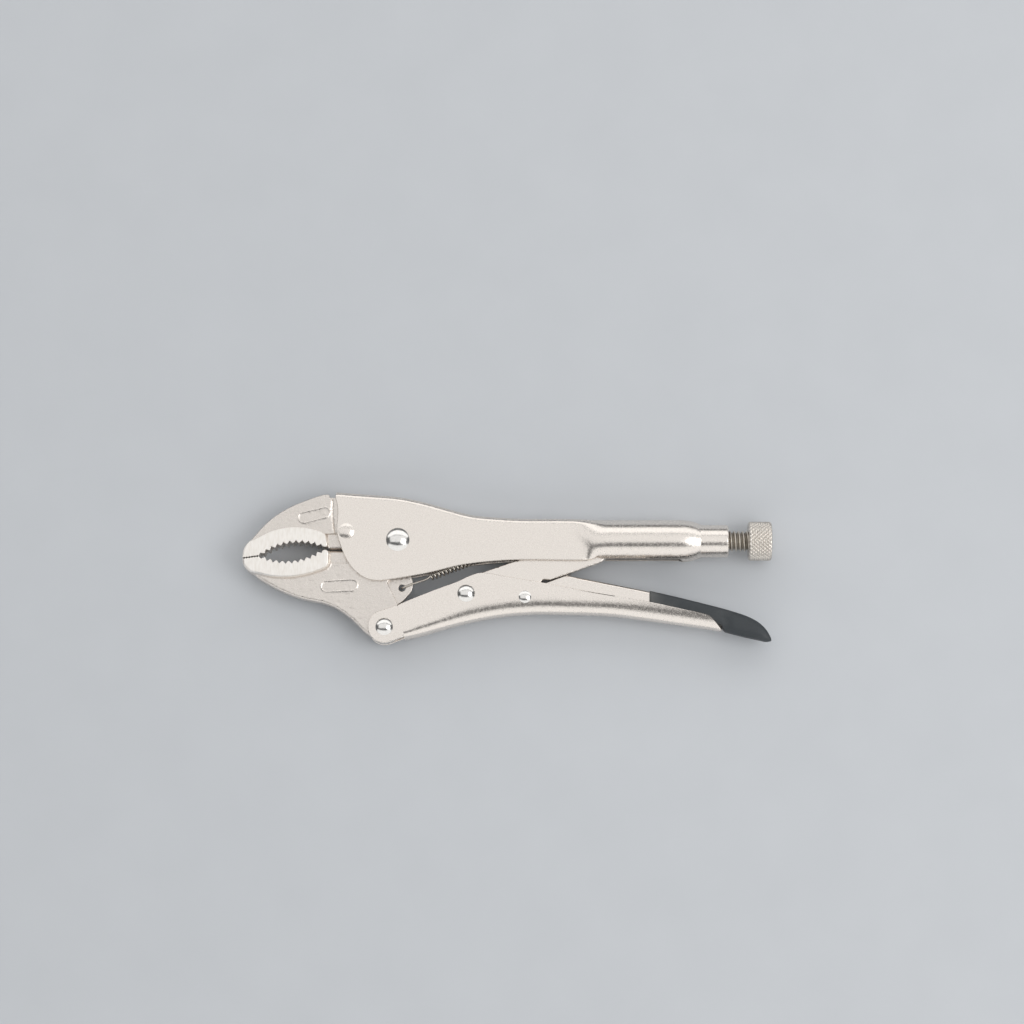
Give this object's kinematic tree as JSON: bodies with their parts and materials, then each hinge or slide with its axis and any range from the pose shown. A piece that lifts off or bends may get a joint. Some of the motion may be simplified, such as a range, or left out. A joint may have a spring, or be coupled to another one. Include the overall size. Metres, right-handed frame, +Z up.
{
  "type": "locking pliers",
  "caption": "Curved-jaw locking pliers with wire cutter, over-centre toggle, inside release lever with dipped grip and knurled adjusting screw.",
  "frame": {"origin": "middle of the bounding box's bottom face, with the tool lying on its side on its round tube", "axes": "+X from the jaws to the adjusting knob, +Y from the moving handle to the spine of the fixed handle, +Z up out of the side, along the pivots"},
  "size_m": [0.25, 0.072, 0.0201],
  "materials": {
    "nickel_plate": "satin nickel plate over blasted steel, warm grey, fine grain",
    "polished_rivet": "polished nickel-plated domed rivets",
    "knurled_knob": "nickel-plated diamond knurl",
    "screw_thread": "plated machined thread, slightly oiled",
    "spring_steel": "drawn spring wire",
    "vinyl_grip": "dark slate-grey dipped vinyl, fine matt skin"
  },
  "bodies": {
    "handle": {"fixed_handle": "nickel_plate", "fixed_jaw": "nickel_plate", "main_rivet": "polished_rivet", "fixed_jaw_rivet": "nickel_plate", "threaded_sleeve": "nickel_plate", "return_spring": "spring_steel"},
    "jaw": {"movable_jaw": "nickel_plate"},
    "lever": {"lever_handle": "nickel_plate", "jaw_lever_rivet": "polished_rivet", "link_rivet": "polished_rivet", "release_rivet": "polished_rivet"},
    "link": {"toggle_link": "nickel_plate"},
    "release": {"release_lever": "nickel_plate", "release_grip": "vinyl_grip"},
    "screw": {"adjusting_screw": "screw_thread"},
    "knob": {"adjusting_knob": "knurled_knob"}
  },
  "joints": [
    {"name": "jaw_pivot", "type": "hinge", "parent": "handle", "child": "jaw", "pos_m": [-0.0517, 0.01305, 0.01005], "axis": [0, 0, 1], "range_deg": [0, 25], "deforming": ["return_spring"]},
    {"name": "lever_pivot", "type": "hinge", "parent": "jaw", "child": "lever", "pos_m": [-0.0579, -0.02825, 0.01005], "axis": [0, 0, 1], "range_deg": [-68.75, 0]},
    {"name": "link_pivot", "type": "hinge", "parent": "lever", "child": "link", "pos_m": [-0.0194, -0.01245, 0.01005], "axis": [0, 0, 1], "range_deg": [0, 75]},
    {"name": "release_pivot", "type": "hinge", "parent": "lever", "child": "release", "pos_m": [0.0083, -0.01415, 0.01005], "axis": [0, 0, 1], "range_deg": [0, 7.5]},
    {"name": "screw_travel", "type": "slide", "parent": "handle", "child": "screw", "axis": [1, 0, 0], "range_m": [0, 0.026]},
    {"name": "knob_turn", "type": "hinge", "parent": "screw", "child": "knob", "pos_m": [0.114, 0.01305, 0.01005], "axis": [1, 0, 0], "range_deg": [0, 4680]}
  ],
  "couplings": [
    {"joint": "lever_pivot", "follows": "jaw_pivot", "ratio": -2.75},
    {"joint": "link_pivot", "follows": "jaw_pivot", "ratio": 3},
    {"joint": "release_pivot", "follows": "jaw_pivot", "ratio": 0.3},
    {"joint": "knob_turn", "follows": "screw_travel", "rad_per_m": 3141.6}
  ]
}
